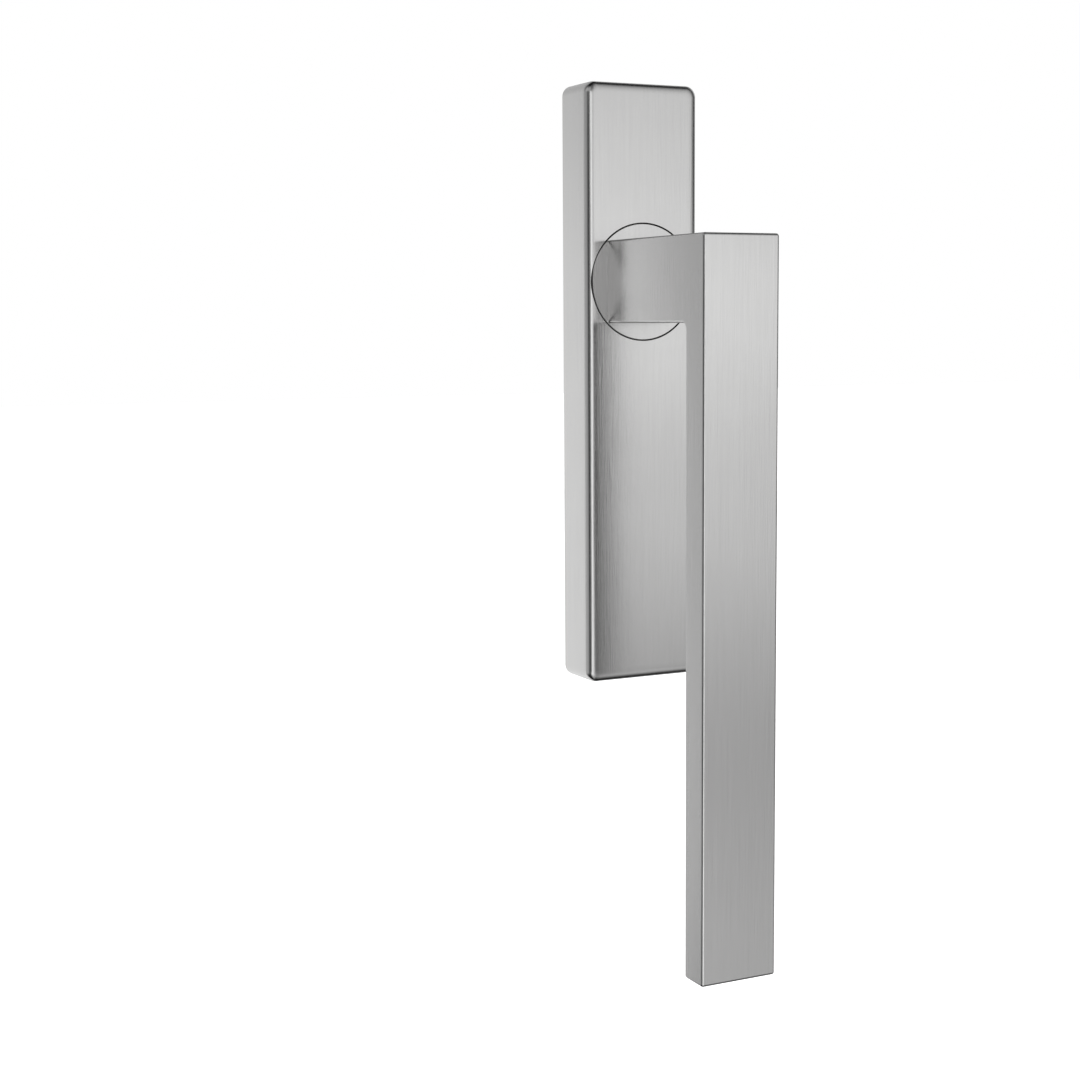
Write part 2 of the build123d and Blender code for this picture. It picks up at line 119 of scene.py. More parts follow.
# Skin of cast, plated and spring metal, and tool rings of turned plastic
SKIN_GRAINS = 2600.0
SKIN_DEPTH = 0.05 * MM
SKIN_ROUGHNESS_SPREAD = 0.15
TOOL_RING_DEPTH = 0.02 * MM
TOOL_RING_RELIEF = 0.2

# Floor that glows white to the camera, a little less near the object, where its shadow falls
FLOOR_HALF = 6
FLOOR_HEIGHT = -0.30
FLOOR_GREY = 0.8
FLOOR_GLOW = 0.75
FLOOR_FADE = (0.5, 2.0)

# Glow of the tent by direction, in degrees from the front and to the right positive, and by height
TENT_RADIUS = 2.5
LEFT_RING = [
    (-180, 0), (-60, 0), (-53, 0.08), (-46, 0.25), (-38, 0.33), (-31, 0.42), (-27, 0.62), (-23, 1.45),
    (-9, 1.5), (-2, 0.9), (9, 0), (180, 0),
]
LEFT_RISE = [
    (-75, 0.2), (-60, 0.35), (-40, 0.5), (-28, 1.0), (8, 1.0), (14, 0.6), (20, 0.15), (40, 0.05), (75, 0.02),
]
RIGHT_RING = [
    (-180, 0), (0, 0), (6, 0.4), (14, 1.1), (30, 1.1), (37, 0.93), (44, 0.66), (56, 0.18), (68, 0), (180, 0),
]
RIGHT_RISE = [
    (-75, 0.02), (-55, 0.12), (-42, 0.36), (-30, 0.62), (-22, 0.63), (-15, 0.49), (-8.7, 0.86), (-5.5, 0.85),
    (-0.9, 1.12), (1.3, 1.1), (6.5, 0.92), (23, 0.68), (38, 0.5), (58, 0.22), (80, 0.04),
]
BACK_RING = [
    (-180, 0.5), (-154, 0.47), (-125, 0.5), (-105, 0.42), (-92, 0.3), (-79, 0.08), (-62, 0.05), (-50, 0),
    (50, 0), (64, 0.04), (79, 0.06), (91, 0.36), (104, 0.48), (128, 0.48), (140, 0.05), (163, 0.05),
    (178, 0.45), (180, 0.5),
]
BACK_RISE = [
    (-75, 0.02), (-42, 0.08), (-31, 0.45), (-23, 1.1), (-8, 1.1), (0, 1.0), (10, 0.85), (24, 0.5), (42, 0.2),
    (70, 0.05),
]
LOW_RING = [
    (-180, 0.2), (-172, 0), (-54, 0), (-45, 0.5), (-32, 0.5), (-8, 0), (60, 0), (80, 0.55), (165, 0.55),
    (180, 0.2),
]
LOW_RISE = [(-62, 0), (-48, 0.6), (-36, 1.0), (-24, 0.9), (-14, 0)]
HIGH_RING = [
    (-180, 0.1), (-170, 0), (-120, 0), (-105, 0.5), (-30, 0.5), (-10, 0), (72, 0), (92, 0.5), (160, 0.5),
    (180, 0.1),
]
HIGH_RISE = [(8, 0), (18, 0.8), (34, 1.0), (46, 0.5), (58, 0)]
TENT_ZONES = [
    (LEFT_RING, LEFT_RISE),
    (RIGHT_RING, RIGHT_RISE),
    (BACK_RING, BACK_RISE),
    (LOW_RING, LOW_RISE),
    (HIGH_RING, HIGH_RISE),
]

# White card behind the object, seen in its left faces: its edges, and its glow by height in millimetres
CARD_Y = 80 * MM
CARD_X = (-92 * MM, 12 * MM)
CARD_Z = (-350 * MM, 250 * MM)
CARD_GLOW = [(-60, 1.03), (0, 0.97), (80, 0.8), (140, 0.5), (250, 0.4)]

# Strength of the white background: for matt faces, and for what the camera and reflections see
WORLD_STRENGTH = (0.5, 1.0)

# Soft square lamps: place and watts
LAMPS = {
    "key_lamp": ((-0.9, -1.2, 1.3), 18),
    "fill_lamp": ((1.2, -0.9, 0.7), 10),
    "back_lamp": ((-0.4, 1.4, 1.0), 12),
}
LAMP_AIM = (0, 0, -0.1)
LAMP_SIZE = 1.2

# Camera, with its angles in degrees
CAMERA_PLACE = Vector((-340.4, -630.8, -14.0)) * MM
CAMERA_YAW = 25.961
CAMERA_PITCH = 5.994
CAMERA_ROLL = -0.37
CAMERA_CLIP = (0.01, 30)
FOCAL_PIXELS = 1881.6
PICTURE_WIDTH = 1080
SENSOR_WIDTH = 36.0
SHIFT_Y = -0.02

disc_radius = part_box("rotor_disc")[1].x
plate_half_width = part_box("cover_plate")[1].x


# Shapes

def plain_object(bm, name):
    """Object of a bmesh, with no finish yet."""
    mesh = bpy.data.meshes.new(name)
    bm.to_mesh(mesh)
    bm.free()
    made = bpy.data.objects.new(name, mesh)
    bpy.context.scene.collection.objects.link(made)
    return made


def finish_piece(bm, name, body, material, replaced, smooth_angle=SMOOTH_ANGLE):
    """Turns a bmesh into a piece that rides on a body, with smooth faces and sharp creases."""
    bmesh.ops.recalc_face_normals(bm, faces=bm.faces)
    for face in bm.faces:
        face.smooth = True
    for edge in bm.edges:
        if edge.is_manifold:
            edge.smooth = edge.calc_face_angle(0) < radians(smooth_angle)
    piece = plain_object(bm, name)
    piece.data.materials.append(material)
    weighted = piece.modifiers.new("even_normals", "WEIGHTED_NORMAL")
    weighted.keep_sharp = True
    weighted.weight = 100
    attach(piece, body)
    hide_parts(replaced)


def round_edges(bm, edges, radius, steps):
    """Rounds edges to a circle's arc."""
    bmesh.ops.bevel(bm, geom=edges, offset=radius, segments=steps, profile=0.5, affect="EDGES", material=-1)


def rounded_outline(bm, half_width, bottom, top, y, radius):
    """Edges of an upright rectangle with rounded corners, at a depth."""
    known = set(bm.edges)
    corners = [(-half_width, bottom), (half_width, bottom), (half_width, top), (-half_width, top)]
    sheet = bm.faces.new([bm.verts.new((x, y, z)) for x, z in corners])
    bmesh.ops.bevel(
        bm, geom=sheet.verts[:], offset=radius, segments=CORNER_STEPS, profile=0.5, affect="VERTICES",
        material=-1,
    )
    bmesh.ops.delete(bm, geom=bm.faces[:], context="FACES_ONLY")
    return [edge for edge in bm.edges if edge not in known]


def rounded_block(half_width, bottom, top, front, back, corner, edge, power, steps):
    """Block with rounded corners and a rounded front edge, joined from one outline to the next."""
    levels = [(0, back)]
    for step in range(steps + 1):
        angle = pi / 2 * step / steps
        inset = edge * (1 - max(cos(angle), 0) ** (2 / power))
        depth = edge * (1 - sin(angle) ** (2 / power))
        levels.append((inset, front + depth))
    bm = bmesh.new()
    loops = []
    for inset, y in levels:
        radius = corner - (corner - LEAST_CORNER) * inset / edge
        loops.append(rounded_outline(bm, half_width - inset, bottom + inset, top - inset, y, radius))
    for loop, following in zip(loops, loops[1:]):
        bmesh.ops.bridge_loops(bm, edges=loop + following)
    for end in (loops[0], loops[-1]):
        bmesh.ops.edgeloop_fill(bm, edges=end)
    bmesh.ops.recalc_face_normals(bm, faces=bm.faces)
    return bm


def cut(bm, cutters):
    """The bmesh of a solid after the cutters are taken out of it."""
    body = plain_object(bm, "blank")
    for cutter in cutters:
        taken = body.modifiers.new("cut", "BOOLEAN")
        taken.operation = "DIFFERENCE"
        taken.solver = "EXACT"
        taken.object = cutter
    graph = bpy.context.evaluated_depsgraph_get()
    result = bmesh.new()
    result.from_mesh(body.evaluated_get(graph).to_mesh())
    for used in [body, *cutters]:
        bpy.data.objects.remove(used)
    return result


def drum(radius, front, back, segments):
    """Closed cylinder along Y."""
    bm = bmesh.new()
    turn = Matrix.Rotation(radians(90), 4, "X")
    place = Matrix.Translation((0, (front + back) / 2, 0))
    bmesh.ops.create_cone(
        bm, cap_ends=True, segments=segments, radius1=radius, radius2=radius, depth=back - front,
        matrix=place @ turn,
    )
    return bm


def lathe(bm, profile, centre_z, steps):
    """Spins a profile of (radius, y) points about the line along Y at a height."""
    points = [bm.verts.new((radius, y, centre_z)) for radius, y in profile]
    edges = [bm.edges.new(pair) for pair in zip(points, points[1:])]
    bmesh.ops.spin(
        bm, geom=points + edges, cent=(0, 0, centre_z), axis=(0, 1, 0), dvec=(0, 0, 0), angle=tau,
        steps=steps, use_merge=True,
    )


def thread(bm, centre_z, start, end, steps):
    """Helical ridge with a closed section, wound about the line along Y at a height."""
    root = SCREW_ROOT_RADIUS - THREAD_SINK
    section = zip((root, SCREW_CREST_RADIUS, SCREW_CREST_RADIUS, root), THREAD_FLANKS)
    points = [bm.verts.new((radius, start + share * THREAD_PITCH, centre_z)) for radius, share in section]
    face = bm.faces.new(points)
    turns = (end - start) / THREAD_PITCH - 1
    total = round(turns * steps)
    bmesh.ops.spin(
        bm, geom=[face], cent=(0, 0, centre_z), axis=(0, 1, 0), dvec=(0, THREAD_PITCH / steps, 0),
        angle=tau * total / steps, steps=total, use_merge=False,
    )


def make_lever(material):
    """Square neck and flat bar grip, bent from one bar."""
    bm = bmesh.new()
    outline = [
        (PLATE_FRONT, NECK_HALF),
        (GRIP_FRONT, NECK_HALF),
        (GRIP_FRONT, GRIP_BOTTOM),
        (GRIP_BACK, GRIP_BOTTOM),
        (GRIP_BACK, -NECK_HALF),
        (PLATE_FRONT, -NECK_HALF),
    ]
    side = bm.faces.new([bm.verts.new((-GRIP_WIDTH / 2, y, z)) for y, z in outline])
    grown = bmesh.ops.extrude_face_region(bm, geom=[side])["geom"]
    far_side = [part for part in grown if isinstance(part, bmesh.types.BMVert)]
    bmesh.ops.translate(bm, vec=(GRIP_WIDTH, 0, 0), verts=far_side)
    bmesh.ops.recalc_face_normals(bm, faces=bm.faces)

    def at_depth(edge, y):
        return all(abs(vert.co.y - y) < SAME_PLACE for vert in edge.verts)

    def at_height(edge, z):
        return all(abs(vert.co.z - z) < SAME_PLACE for vert in edge.verts)

    inner = [edge for edge in bm.edges if at_depth(edge, GRIP_BACK) and at_height(edge, -NECK_HALF)]
    round_edges(bm, inner, LEVER_INNER_RADIUS, LEVER_INNER_STEPS)
    least_angle = radians(LEVER_EDGE_LEAST_ANGLE)
    outer = [
        edge for edge in bm.edges
        if edge.calc_face_angle(0) > least_angle and not at_depth(edge, PLATE_FRONT)
    ]
    round_edges(bm, outer, LEVER_EDGE, LEVER_EDGE_STEPS)
    finish_piece(bm, "lever_bar", "handle", material, "lever")


def make_cover(material):
    """Pressed cover: a rounded shell, open at the back, with the round opening of the disc."""
    shell = rounded_block(
        plate_half_width, PLATE_BOTTOM, PLATE_TOP, PLATE_FRONT, 0,
        PLATE_CORNER, PLATE_EDGE, PLATE_EDGE_POWER, PLATE_EDGE_STEPS,
    )
    hollow = rounded_block(
        plate_half_width - COVER_WALL, PLATE_BOTTOM + COVER_WALL, PLATE_TOP - COVER_WALL,
        PLATE_FRONT + COVER_WALL, CUT_MARGIN,
        PLATE_CORNER - COVER_WALL, INNER_EDGE, INNER_EDGE_POWER, INNER_EDGE_STEPS,
    )
    opening = drum(disc_radius + SEAM_GAP, PLATE_FRONT - CUT_MARGIN, PLATE_FRONT + PLATE_EDGE, OPENING_STEPS)
    bm = cut(shell, [plain_object(hollow, "hollow"), plain_object(opening, "opening")])
    finish_piece(bm, "cover_shell", "plate", material, "cover_plate")


def make_fixing_screws(material):
    """Two countersunk screws with cut threads."""
    bm = bmesh.new()
    socket_floor = SCREW_HEAD_TOP + SCREW_SOCKET_DEPTH
    cone_end = SCREW_HEAD_TOP + SCREW_HEAD_RADIUS - SCREW_SHANK_RADIUS
    profile = [
        (0, socket_floor),
        (SCREW_SOCKET_RADIUS, socket_floor),
        (SCREW_SOCKET_RADIUS, SCREW_HEAD_TOP),
        (SCREW_HEAD_RADIUS - SCREW_HEAD_EDGE, SCREW_HEAD_TOP),
        (SCREW_HEAD_RADIUS, SCREW_HEAD_TOP + SCREW_HEAD_EDGE),
        (SCREW_SHANK_RADIUS, cone_end),
        (SCREW_SHANK_RADIUS, THREAD_START),
        (SCREW_ROOT_RADIUS, THREAD_START + THREAD_RUN_IN),
        (SCREW_ROOT_RADIUS, SCREW_TIP - SCREW_TIP_CHAMFER),
        (SCREW_ROOT_RADIUS - SCREW_TIP_CHAMFER, SCREW_TIP),
        (0, SCREW_TIP),
    ]
    for height in FIXING_PLACES:
        lathe(bm, profile, height, SCREW_STEPS)
        thread(bm, height, THREAD_START, SCREW_TIP - THREAD_TIP_GAP, SCREW_STEPS)
    bmesh.ops.remove_doubles(bm, verts=bm.verts, dist=SAME_PLACE)
    finish_piece(
        bm, "fixing_bolts", "plate", material, "fixing_screws", THREAD_SMOOTH_ANGLE
    )


# Finishes

def new_group(name, inputs, outputs):
    """Empty shader node group with named sockets."""
    tree = bpy.data.node_groups.new(name, "ShaderNodeTree")
    for title, kind, value in inputs:
        socket = tree.interface.new_socket(name=title, in_out="INPUT", socket_type=kind)
        if value is not None:
            socket.default_value = value
    for title, kind in outputs:
        tree.interface.new_socket(name=title, in_out="OUTPUT", socket_type=kind)
    return tree, tree.nodes.new("NodeGroupInput"), tree.nodes.new("NodeGroupOutput")


def add_node(tree, kind, values=(), **settings):
    """Node with its settings and the values of its named inputs."""
    node = tree.nodes.new(kind)
    for title, value in settings.items():
        setattr(node, title, value)
    for title, value in dict(values).items():
        node.inputs[title].default_value = value
    return node


def mix_sockets(mix, kind):
    """The two inputs and the output of a Mix node that hold one kind of value."""
    first, second = (socket for socket in mix.inputs if socket.type == kind and socket.name in ("A", "B"))
    return first, second, next(socket for socket in mix.outputs if socket.type == kind)


def brushed_grain_group():
    """Fine upright grain, at a coarse and a fine width; on level faces it runs front to back."""
    tree, given, made = new_group(
        "brushed_grain",
        [
            ("Place", "NodeSocketVector", None),
            ("Facing", "NodeSocketVector", None),
            ("Lines per metre", "NodeSocketFloat", GRAIN_LINES),
            ("Drawn out", "NodeSocketFloat", GRAIN_DRAWN_OUT),
        ],
        [("Height", "NodeSocketFloat"), ("Streaks", "NodeSocketFloat"), ("Cloud", "NodeSocketFloat")],
    )
    link = tree.links.new

    # Many lines across the grain and few along it
    along = add_node(tree, "ShaderNodeMath", operation="MULTIPLY")
    link(given.outputs["Lines per metre"], along.inputs[0])
    link(given.outputs["Drawn out"], along.inputs[1])
    spread = add_node(tree, "ShaderNodeCombineXYZ")
    link(given.outputs["Lines per metre"], spread.inputs["X"])
    link(given.outputs["Lines per metre"], spread.inputs["Y"])
    link(along.outputs[0], spread.inputs["Z"])

    # On level faces, depth and height change places
    parts = add_node(tree, "ShaderNodeSeparateXYZ")
    link(given.outputs["Place"], parts.inputs[0])
    level_place = add_node(tree, "ShaderNodeCombineXYZ")
    for source, target in ("XX", "ZY", "YZ"):
        link(parts.outputs[source], level_place.inputs[target])
    facing = add_node(tree, "ShaderNodeSeparateXYZ")
    link(given.outputs["Facing"], facing.inputs[0])
    upward = add_node(tree, "ShaderNodeMath", operation="ABSOLUTE")
    link(facing.outputs["Z"], upward.inputs[0])
    is_level = add_node(tree, "ShaderNodeMath", operation="GREATER_THAN")
    is_level.inputs[1].default_value = LEVEL_FACE
    link(upward.outputs[0], is_level.inputs[0])
    chosen = add_node(tree, "ShaderNodeMix", data_type="VECTOR")
    link(is_level.outputs[0], chosen.inputs["Factor"])
    upright_socket, level_socket, drawn_place = mix_sockets(chosen, "VECTOR")
    link(given.outputs["Place"], upright_socket)
    link(level_place.outputs[0], level_socket)
    placed = add_node(tree, "ShaderNodeVectorMath", operation="MULTIPLY")
    link(drawn_place, placed.inputs[0])
    link(spread.outputs[0], placed.inputs[1])

    fine = add_node(tree, "ShaderNodeTexNoise", {"Scale": 1.0, "Detail": 4.0, "Roughness": 0.65})
    link(placed.outputs[0], fine.inputs["Vector"])
    broad_place = add_node(tree, "ShaderNodeVectorMath", operation="SCALE")
    broad_place.inputs["Scale"].default_value = STREAK_SCALE
    link(placed.outputs[0], broad_place.inputs[0])
    broad = add_node(tree, "ShaderNodeTexNoise", {"Scale": 1.0, "Detail": 3.0, "Roughness": 0.6})
    link(broad_place.outputs[0], broad.inputs["Vector"])
    cloud = add_node(tree, "ShaderNodeTexNoise", {"Scale": 28.0, "Detail": 3.0, "Roughness": 0.55})
    link(given.outputs["Place"], cloud.inputs["Vector"])
    link(fine.outputs["Fac"], made.inputs["Height"])
    link(broad.outputs["Fac"], made.inputs["Streaks"])
    link(cloud.outputs["Fac"], made.inputs["Cloud"])
    return tree


def cast_skin_group():
    """Skin of a casting: fine pitting and a broad mottle."""
    tree, given, made = new_group(
        "cast_skin",
        [("Place", "NodeSocketVector", None), ("Grains per metre", "NodeSocketFloat", SKIN_GRAINS)],
        [("Height", "NodeSocketFloat"), ("Mottle", "NodeSocketFloat")],
    )
    link = tree.links.new
    grain = add_node(tree, "ShaderNodeTexNoise", {"Detail": 5.0, "Roughness": 0.6})
    link(given.outputs["Place"], grain.inputs["Vector"])
    link(given.outputs["Grains per metre"], grain.inputs["Scale"])
    mottle = add_node(
        tree, "ShaderNodeTexNoise", {"Scale": 90.0, "Detail": 4.0, "Roughness": 0.6, "Distortion": 0.4}
    )
    link(given.outputs["Place"], mottle.inputs["Vector"])
    link(grain.outputs["Fac"], made.inputs["Height"])
    link(mottle.outputs["Fac"], made.inputs["Mottle"])
    return tree


brushed_grain = brushed_grain_group()
cast_skin = cast_skin_group()


def new_finish(name):
    """Material with only a Principled shader, and its texture coordinates."""
    material = bpy.data.materials.new(name)
    material.use_nodes = True
    tree = material.node_tree
    shader = tree.nodes["Principled BSDF"]
    place = tree.nodes.new("ShaderNodeTexCoord")
    return material, tree, shader, place.outputs


def blend_colours(tree, mask, low_colour, high_colour):
    """Colour between two by a mask."""
    mix = add_node(tree, "ShaderNodeMix", data_type="RGBA")
    first, second, blend = mix_sockets(mix, "RGBA")
    first.default_value = low_colour
    second.default_value = high_colour
    tree.links.new(mask, mix.inputs["Factor"])
    return blend


def spread_value(tree, mask, low, high, from_low=0.3, from_high=0.7):
    """Value between two limits by a mask."""
    ramp = add_node(
        tree, "ShaderNodeMapRange",
        {"From Min": from_low, "From Max": from_high, "To Min": low, "To Max": high},
    )
    tree.links.new(mask, ramp.inputs["Value"])
    return ramp.outputs["Result"]


def spread_roughness(tree, shader, mask, rough, share):
    """Roughness that changes by a share up and down by a mask."""
    value = spread_value(tree, mask, rough * (1 - share), rough * (1 + share))
    tree.links.new(value, shader.inputs["Roughness"])


def add_bump(tree, shader, height, strength, depth):
    """Fine relief on the shader's normal."""
    bump = add_node(tree, "ShaderNodeBump", {"Strength": strength, "Distance": depth})
    tree.links.new(height, bump.inputs["Height"])
    tree.links.new(bump.outputs["Normal"], shader.inputs["Normal"])


def grey(value, warm):
    """Near-grey colour, a little warm."""
    return (value * (1 + warm), value, value * (1 - warm), 1)


def brushed_stainless(name, tone, streak, rough, relief):
    """Stainless steel with an upright brushed grain."""
    material, tree, shader, place = new_finish(name)
    grain = add_node(tree, "ShaderNodeGroup", node_tree=brushed_grain)
    tree.links.new(place["Object"], grain.inputs["Place"])
    tree.links.new(place["Normal"], grain.inputs["Facing"])
    colour = blend_colours(
        tree, spread_value(tree, grain.outputs["Streaks"], 0, 1),
        grey(tone * (1 - streak), GRAIN_WARMTH), grey(tone * (1 + streak), GRAIN_WARMTH),
    )
    tree.links.new(colour, shader.inputs["Base Color"])
    spread_roughness(tree, shader, grain.outputs["Cloud"], rough, GRAIN_ROUGHNESS_SPREAD)
    shader.inputs["Metallic"].default_value = 1.0
    shader.inputs["Anisotropic"].default_value = GRAIN_ANISOTROPY

    # Across the grain, level along each face
    across = add_node(tree, "ShaderNodeVectorMath", operation="CROSS_PRODUCT")
    across.inputs[0].default_value = (0, 0, 1)
    tree.links.new(place["Normal"], across.inputs[1])
    leaning = add_node(tree, "ShaderNodeVectorMath", operation="ADD")
    leaning.inputs[1].default_value = GRAIN_LEAN
    tree.links.new(across.outputs[0], leaning.inputs[0])
    turned = add_node(
        tree, "ShaderNodeVectorTransform", vector_type="VECTOR", convert_from="OBJECT", convert_to="WORLD"
    )
    tree.links.new(leaning.outputs[0], turned.inputs[0])
    tree.links.new(turned.outputs[0], shader.inputs["Tangent"])
    add_bump(tree, shader, grain.outputs["Height"], relief, GRAIN_DEPTH)
    return material


def skinned_metal(name, low, high, rough, grains, relief, warm):
    """Metal with a mottled, finely pitted skin."""
    material, tree, shader, place = new_finish(name)
    skin = add_node(tree, "ShaderNodeGroup", {"Grains per metre": grains}, node_tree=cast_skin)
    tree.links.new(place["Object"], skin.inputs["Place"])
    mottle = skin.outputs["Mottle"]
    colour = blend_colours(tree, spread_value(tree, mottle, 0, 1), grey(low, warm), grey(high, warm))
    tree.links.new(colour, shader.inputs["Base Color"])
    spread_roughness(tree, shader, mottle, rough, SKIN_ROUGHNESS_SPREAD)
    shader.inputs["Metallic"].default_value = 1.0
    add_bump(tree, shader, skin.outputs["Height"], relief, SKIN_DEPTH)
    return material


def turned_acetal():
    """Natural white bearing plastic with faint tool rings."""
    material, tree, shader, place = new_finish("turned_acetal")
    rings = add_node(
        tree, "ShaderNodeTexWave", {"Scale": 900.0, "Distortion": 0.6, "Detail": 2.0},
        wave_type="RINGS", rings_direction="Y",
    )
    tree.links.new(place["Object"], rings.inputs["Vector"])
    ring_mask = rings.outputs["Fac"]
    colour = blend_colours(tree, ring_mask, (0.80, 0.79, 0.75, 1), (0.86, 0.85, 0.81, 1))
    tree.links.new(colour, shader.inputs["Base Color"])
    tree.links.new(spread_value(tree, ring_mask, 0.38, 0.5, 0, 1), shader.inputs["Roughness"])
    add_bump(tree, shader, ring_mask, TOOL_RING_RELIEF, TOOL_RING_DEPTH)
    return material


lever_finish = brushed_stainless("brushed_lever", tone=0.62, streak=0.013, rough=0.22, relief=0.9)
cover_finish = brushed_stainless("brushed_cover", tone=0.6, streak=0.014, rough=0.2, relief=0.9)
disc_finish = brushed_stainless("brushed_disc", tone=0.6, streak=0.02, rough=0.2, relief=0.9)
cast_finish = skinned_metal(
    "cast_aluminium", low=0.50, high=0.60, rough=0.46, grains=SKIN_GRAINS, relief=0.6, warm=0.0
)
plated_finish = skinned_metal(
    "zinc_plated", low=0.55, high=0.66, rough=0.27, grains=4000.0, relief=0.12, warm=0.02
)
spring_finish = skinned_metal(
    "spring_steel", low=0.26, high=0.36, rough=0.32, grains=3500.0, relief=0.15, warm=0.015
)
acetal_finish = turned_acetal()

node_finishes = {
    "rotor_disc": disc_finish,
    "base_plate": cast_finish,
    "bearing_bush": acetal_finish,
    "shim_washer": spring_finish,
    "retaining_ring": spring_finish,
    "neck_screws": plated_finish,
    "spindle": plated_finish,
    "spindle_pin": spring_finish,
    "stop_pin": spring_finish,
    "detent_pin_upper": spring_finish,
    "detent_pin_lower": spring_finish,
    "detent_spring_upper": spring_finish,
    "detent_spring_lower": spring_finish,
    "cover_clips": spring_finish,
}
for node_name, finish in node_finishes.items():
    node_materials = nodes[node_name].data.materials
    node_materials.clear()
    node_materials.append(finish)

make_lever(lever_finish)
make_cover(cover_finish)
make_fixing_screws(plated_finish)


# Stage: floor, studio tent, card, lamps and camera

def make_floor():
    """Pale floor that the camera sees as white, with the object's shadow."""
    bm = bmesh.new()
    bmesh.ops.create_grid(bm, x_segments=1, y_segments=1, size=FLOOR_HALF)
    bmesh.ops.translate(bm, vec=(0, 0, FLOOR_HEIGHT), verts=bm.verts)
    floor = plain_object(bm, "floor")
    material, tree, shader, place = new_finish("pale_floor")
    shader.inputs["Base Color"].default_value = (FLOOR_GREY, FLOOR_GREY, FLOOR_GREY, 1)
    shader.inputs["Roughness"].default_value = 0.9
    shader.inputs["Emission Color"].default_value = (1, 1, 1, 1)
    away = add_node(tree, "ShaderNodeVectorMath", operation="LENGTH")
    tree.links.new(place["Object"], away.inputs[0])
    brightness = spread_value(tree, away.outputs["Value"], FLOOR_GLOW, 1.0, *FLOOR_FADE)
    seen = add_node(tree, "ShaderNodeLightPath")
    glow = add_node(tree, "ShaderNodeMath", operation="MULTIPLY")
    tree.links.new(seen.outputs["Is Camera Ray"], glow.inputs[0])
    tree.links.new(brightness, glow.inputs[1])
    tree.links.new(glow.outputs[0], shader.inputs["Emission Strength"])
    floor.data.materials.append(material)
    floor.visible_glossy = False


def glow_material(name):
    """Material that only glows: its tree, its Object coordinates and the socket for the glow's colour."""
    material = bpy.data.materials.new(name)
    material.use_nodes = True
    tree = material.node_tree
    tree.nodes.remove(tree.nodes["Principled BSDF"])
    place = add_node(tree, "ShaderNodeTexCoord")
    glow = add_node(tree, "ShaderNodeEmission")
    tree.links.new(glow.outputs[0], tree.nodes["Material Output"].inputs["Surface"])
    return material, tree, place.outputs["Object"], glow.inputs["Color"]


def glow_ramp(tree, share, stops):
    """Grey glow by a share from 0 to 1, with stops of (share, glow)."""
    ramp = add_node(tree, "ShaderNodeValToRGB")
    tree.links.new(share, ramp.inputs["Fac"])
    elements = ramp.color_ramp.elements
    while len(elements) > 1:
        elements.remove(elements[-1])
    for number, (place, glow) in enumerate(stops):
        element = elements.new(place) if number else elements[0]
        element.position = place
        element.color = (glow, glow, glow, 1)
    return ramp.outputs["Color"]


def make_tent():
    """Studio tent: a large sphere whose zones glow by direction and by height."""
    bm = bmesh.new()
    bmesh.ops.create_uvsphere(bm, u_segments=48, v_segments=24, radius=TENT_RADIUS)
    tent = plain_object(bm, "studio_tent")
    material, tree, place, tent_colour = glow_material("tent_glow")
    link = tree.links.new
    ray = add_node(tree, "ShaderNodeVectorMath", operation="NORMALIZE")
    link(place, ray.inputs[0])
    split = add_node(tree, "ShaderNodeSeparateXYZ")
    link(ray.outputs[0], split.inputs[0])
    front = add_node(tree, "ShaderNodeMath", operation="MULTIPLY")
    front.inputs[1].default_value = -1
    link(split.outputs["Y"], front.inputs[0])
    around = add_node(tree, "ShaderNodeMath", operation="ARCTAN2")
    link(split.outputs["X"], around.inputs[0])
    link(front.outputs[0], around.inputs[1])
    turn_share = spread_value(tree, around.outputs[0], 0, 1, -pi, pi)
    height_share = spread_value(tree, split.outputs["Z"], 0, 1, -1, 1)
    whole = None
    for ring_stops, rise_stops in TENT_ZONES:
        ring = glow_ramp(tree, turn_share, [((angle + 180) / 360, glow) for angle, glow in ring_stops])
        rise = glow_ramp(
            tree, height_share, [((sin(radians(angle)) + 1) / 2, glow) for angle, glow in rise_stops]
        )
        zone = add_node(tree, "ShaderNodeVectorMath", operation="MULTIPLY")
        link(ring, zone.inputs[0])
        link(rise, zone.inputs[1])
        if whole is None:
            whole = zone
            continue
        both = add_node(tree, "ShaderNodeVectorMath", operation="ADD")
        link(whole.outputs[0], both.inputs[0])
        link(zone.outputs[0], both.inputs[1])
        whole = both
    link(whole.outputs[0], tent_colour)
    tent.data.materials.append(material)
    tent.visible_camera = False
    tent.visible_shadow = False


def make_card():
    """White card that only reflections see."""
    left, right = CARD_X
    bottom, top = CARD_Z
    bm = bmesh.new()
    corners = [(left, bottom), (right, bottom), (right, top), (left, top)]
    bm.faces.new([bm.verts.new((x, CARD_Y, z)) for x, z in corners])
    card = plain_object(bm, "white_card")
    material, tree, place, card_colour = glow_material("card_glow")
    split = add_node(tree, "ShaderNodeSeparateXYZ")
    tree.links.new(place, split.inputs[0])
    share = spread_value(tree, split.outputs["Z"], 0, 1, bottom, top)
    fade = glow_ramp(tree, share, [((z * MM - bottom) / (top - bottom), glow) for z, glow in CARD_GLOW])
    tree.links.new(fade, card_colour)
    card.data.materials.append(material)
    card.visible_camera = False
    card.visible_shadow = False


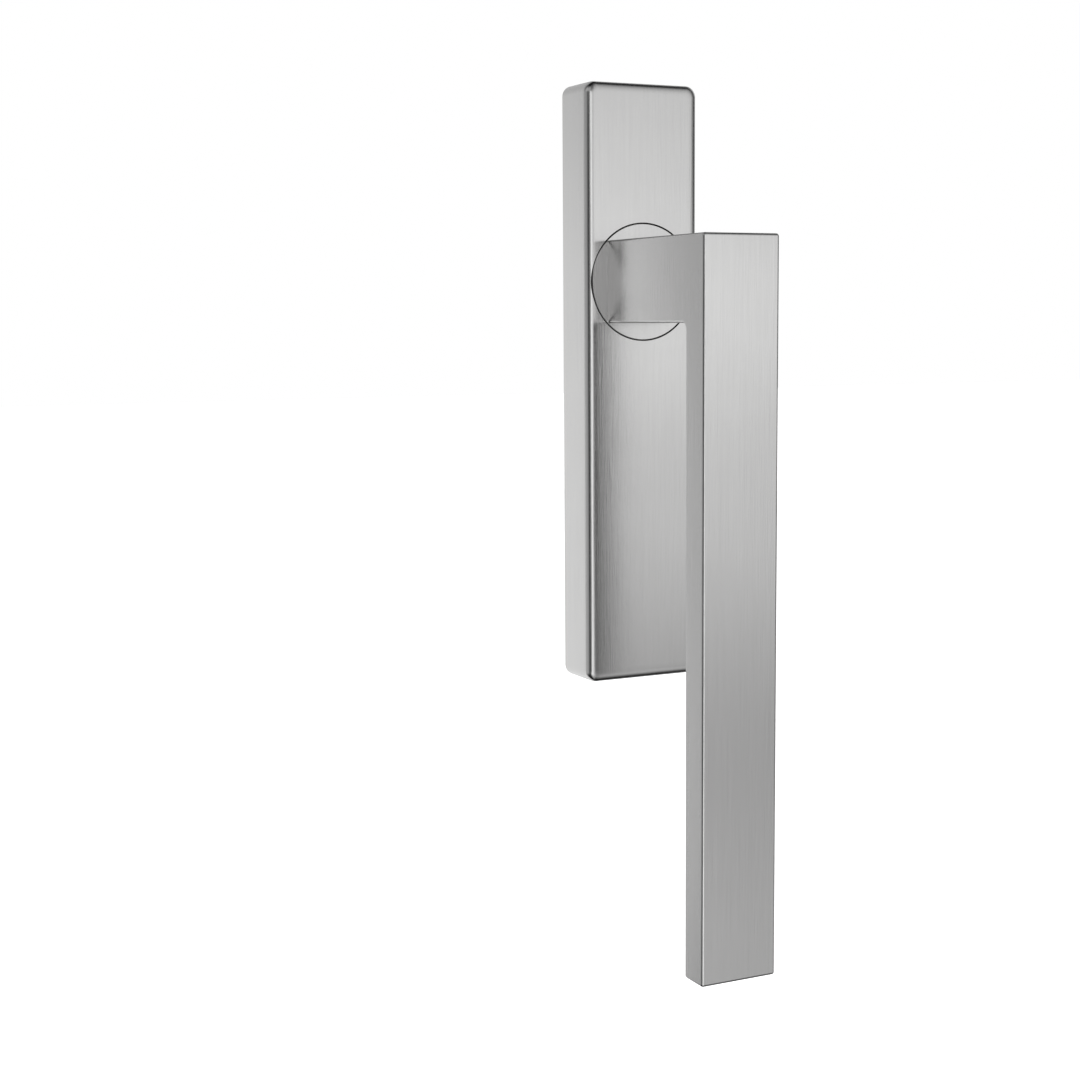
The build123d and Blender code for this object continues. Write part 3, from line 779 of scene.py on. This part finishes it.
def make_world():
    """White background for what the camera and reflections see, and a plain level for the rest."""
    world = bpy.data.worlds.new("plain_white")
    bpy.context.scene.world = world
    world.use_nodes = True
    tree = world.node_tree
    back = tree.nodes["Background"]
    back.inputs["Color"].default_value = (1, 1, 1, 1)
    path = add_node(tree, "ShaderNodeLightPath")
    seen = path.outputs["Is Camera Ray"]
    for ray in ("Is Glossy Ray", "Is Transmission Ray"):
        either = add_node(tree, "ShaderNodeMath", operation="MAXIMUM")
        tree.links.new(seen, either.inputs[0])
        tree.links.new(path.outputs[ray], either.inputs[1])
        seen = either.outputs[0]
    tree.links.new(spread_value(tree, seen, *WORLD_STRENGTH, 0, 1), back.inputs["Strength"])


def make_lamp(name, place, watts):
    """Soft square lamp that lights the floor and the matt pieces."""
    light = bpy.data.lights.new(name, "AREA")
    light.size = LAMP_SIZE
    light.energy = watts
    lamp = bpy.data.objects.new(name, light)
    bpy.context.scene.collection.objects.link(lamp)
    lamp.location = place
    lamp.rotation_euler = (Vector(LAMP_AIM) - Vector(place)).to_track_quat("-Z", "Y").to_euler()
    lamp.visible_glossy = False


def make_camera():
    """Camera at the photograph's viewing angle."""
    data = bpy.data.cameras.new("camera")
    camera = bpy.data.objects.new("camera", data)
    bpy.context.scene.collection.objects.link(camera)
    data.sensor_width = SENSOR_WIDTH
    data.lens = FOCAL_PIXELS / PICTURE_WIDTH * SENSOR_WIDTH
    data.shift_y = SHIFT_Y
    data.clip_start, data.clip_end = CAMERA_CLIP
    yaw = radians(CAMERA_YAW)
    pitch = radians(CAMERA_PITCH)
    ahead = Vector((sin(yaw) * cos(pitch), cos(yaw) * cos(pitch), -sin(pitch)))
    upright = ahead.to_track_quat("-Z", "Y").to_matrix()
    tilt = Matrix.Rotation(radians(CAMERA_ROLL), 3, "Z")
    camera.matrix_world = Matrix.Translation(CAMERA_PLACE) @ (upright @ tilt).to_4x4()
    bpy.context.scene.camera = camera


make_floor()
make_tent()
make_card()
make_world()
for lamp_name, (lamp_place, lamp_watts) in LAMPS.items():
    make_lamp(lamp_name, lamp_place, lamp_watts)
make_camera()

bpy.context.scene.view_settings.view_transform = "Standard"
